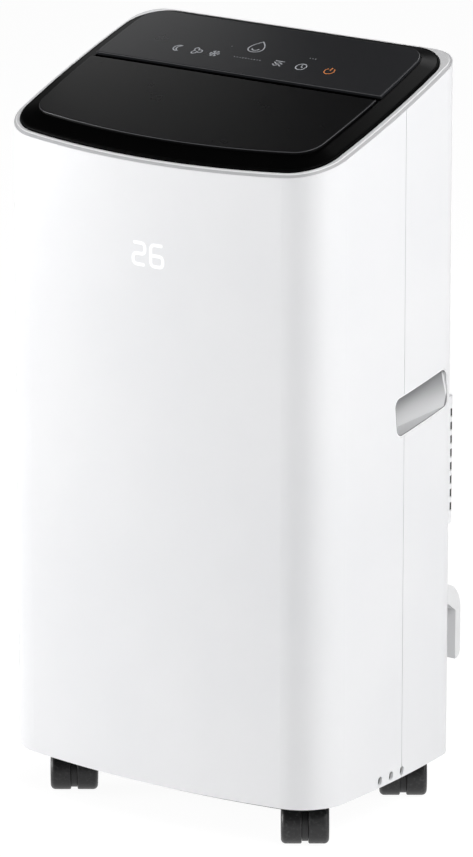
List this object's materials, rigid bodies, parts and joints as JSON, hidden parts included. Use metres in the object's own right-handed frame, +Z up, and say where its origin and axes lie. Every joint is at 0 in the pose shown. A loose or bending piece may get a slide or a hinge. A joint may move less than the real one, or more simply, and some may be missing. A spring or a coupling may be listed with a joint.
{
  "type": "portable air conditioner",
  "caption": "Upright white portable air conditioner on swivel casters, with a slanted black top, hinged air louver, side grips, rear intake grilles and a round exhaust outlet.",
  "frame": {"origin": "on the floor under the middle of the whole machine", "axes": "+Z up, the front faces -Y, +X to the right of someone facing the front"},
  "size_m": [0.395, 0.303, 0.7743],
  "materials": {
    "white_shell": "satin white moulding",
    "grey_trim": "satin grey moulding",
    "grip_grey": "satin grey moulding",
    "black_top": "glossy black moulding",
    "black_plastic": "fine-grained black moulding",
    "grey_plastic": "plain grey moulding",
    "white_plastic": "plain white moulding",
    "wheel_black": "worn satin black nylon",
    "black_rubber": "matte",
    "steel": "turned",
    "black_can": "semi-gloss enamel",
    "motor_case": "zinc plated",
    "fins": "bare fins",
    "copper": "bare copper",
    "board": "solder mask",
    "lamp": "diffusing lens",
    "net": "filter net"
  },
  "bodies": {
    "housing": {"front_shell": "white_shell", "right_side_shell": "white_shell", "left_side_shell": "white_shell", "back_panel": "white_shell", "grip_right": "grip_grey", "grip_left": "grip_grey", "cover_screws": "steel", "trim_ring": "grey_trim", "top_frame": "black_top", "louver_motor": "motor_case", "outlet_grille": "black_plastic", "control_panel": "black_top", "touch_board": "board", "display_board": "board", "led_display": "lamp", "base_pan": "black_plastic", "drip_tray": "grey_plastic", "evaporator": "fins", "condenser": "fins", "blower_housing": "grey_plastic", "blower_motor": "motor_case", "outlet_duct": "grey_plastic", "condenser_fan_housing": "grey_plastic", "condenser_fan_motor": "motor_case", "exhaust_duct": "grey_plastic", "exhaust_collar": "white_plastic", "exhaust_guard": "white_plastic", "compressor": "black_can", "compressor_feet": "black_rubber", "accumulator": "black_can", "discharge_pipe": "copper", "suction_pipe": "copper", "liquid_line": "copper", "power_box": "grey_plastic", "float_switch": "white_plastic", "condenser_grille": "white_shell", "cord_hooks": "white_plastic", "cord_gland": "black_rubber"},
    "louver": {"louver_flap": "black_top"},
    "blower": {"blower_wheel": "black_plastic", "blower_shaft": "steel"},
    "condenser_fan": {"condenser_fan_wheel": "black_plastic", "condenser_fan_shaft": "steel"},
    "filter_door": {"filter_cover": "white_shell", "air_filter": "net"},
    "upper_plug": {"upper_drain_plug": "black_rubber"},
    "lower_plug": {"lower_drain_plug": "black_rubber"},
    "front_left_swivel": {"front_left_caster_fork": "black_plastic"},
    "front_left_roll": {"front_left_caster_wheels": "wheel_black", "front_left_caster_axle": "steel"},
    "front_right_swivel": {"front_right_caster_fork": "black_plastic"},
    "front_right_roll": {"front_right_caster_wheels": "wheel_black", "front_right_caster_axle": "steel"},
    "rear_left_swivel": {"rear_left_caster_fork": "black_plastic"},
    "rear_left_roll": {"rear_left_caster_wheels": "wheel_black", "rear_left_caster_axle": "steel"},
    "rear_right_swivel": {"rear_right_caster_fork": "black_plastic"},
    "rear_right_roll": {"rear_right_caster_wheels": "wheel_black", "rear_right_caster_axle": "steel"}
  },
  "joints": [
    {"name": "louver_tilt", "type": "hinge", "parent": "housing", "child": "louver", "pos_m": [0, -0.00966, 0.73003], "axis": [-1, 0, 0], "range_deg": [0, 55]},
    {"name": "blower_spin", "type": "hinge", "parent": "housing", "child": "blower", "pos_m": [-0.055, 0.0047, 0.529], "axis": [0, 1, 0], "continuous": true},
    {"name": "condenser_fan_spin", "type": "hinge", "parent": "housing", "child": "condenser_fan", "pos_m": [0.03, 0.0107, 0.318], "axis": [0, 1, 0], "continuous": true},
    {"name": "filter_door_pull", "type": "slide", "parent": "housing", "child": "filter_door", "axis": [0, 1, 0], "range_m": [0, 0.06]},
    {"name": "upper_plug_pull", "type": "slide", "parent": "housing", "child": "upper_plug", "axis": [0, 1, 0], "range_m": [0, 0.03]},
    {"name": "lower_plug_pull", "type": "slide", "parent": "housing", "child": "lower_plug", "axis": [0, 1, 0], "range_m": [0, 0.03]},
    {"name": "front_left_swivel_turn", "type": "hinge", "parent": "housing", "child": "front_left_swivel", "pos_m": [-0.142, -0.082, 0.05], "axis": [0, 0, 1], "continuous": true},
    {"name": "front_left_wheel_roll", "type": "hinge", "parent": "front_left_swivel", "child": "front_left_roll", "pos_m": [-0.13626, -0.09019, 0.022], "axis": [0.8192, 0.5736, 0], "continuous": true},
    {"name": "front_right_swivel_turn", "type": "hinge", "parent": "housing", "child": "front_right_swivel", "pos_m": [0.142, -0.082, 0.05], "axis": [0, 0, 1], "continuous": true},
    {"name": "front_right_wheel_roll", "type": "hinge", "parent": "front_right_swivel", "child": "front_right_roll", "pos_m": [0.14774, -0.09019, 0.022], "axis": [0.8192, 0.5736, 0], "continuous": true},
    {"name": "rear_left_swivel_turn", "type": "hinge", "parent": "housing", "child": "rear_left_swivel", "pos_m": [-0.142, 0.0945, 0.05], "axis": [0, 0, 1], "continuous": true},
    {"name": "rear_left_wheel_roll", "type": "hinge", "parent": "rear_left_swivel", "child": "rear_left_roll", "pos_m": [-0.13626, 0.08631, 0.022], "axis": [0.8192, 0.5736, 0], "continuous": true},
    {"name": "rear_right_swivel_turn", "type": "hinge", "parent": "housing", "child": "rear_right_swivel", "pos_m": [0.142, 0.0945, 0.05], "axis": [0, 0, 1], "continuous": true},
    {"name": "rear_right_wheel_roll", "type": "hinge", "parent": "rear_right_swivel", "child": "rear_right_roll", "pos_m": [0.14774, 0.08631, 0.022], "axis": [0.8192, 0.5736, 0], "continuous": true}
  ]
}
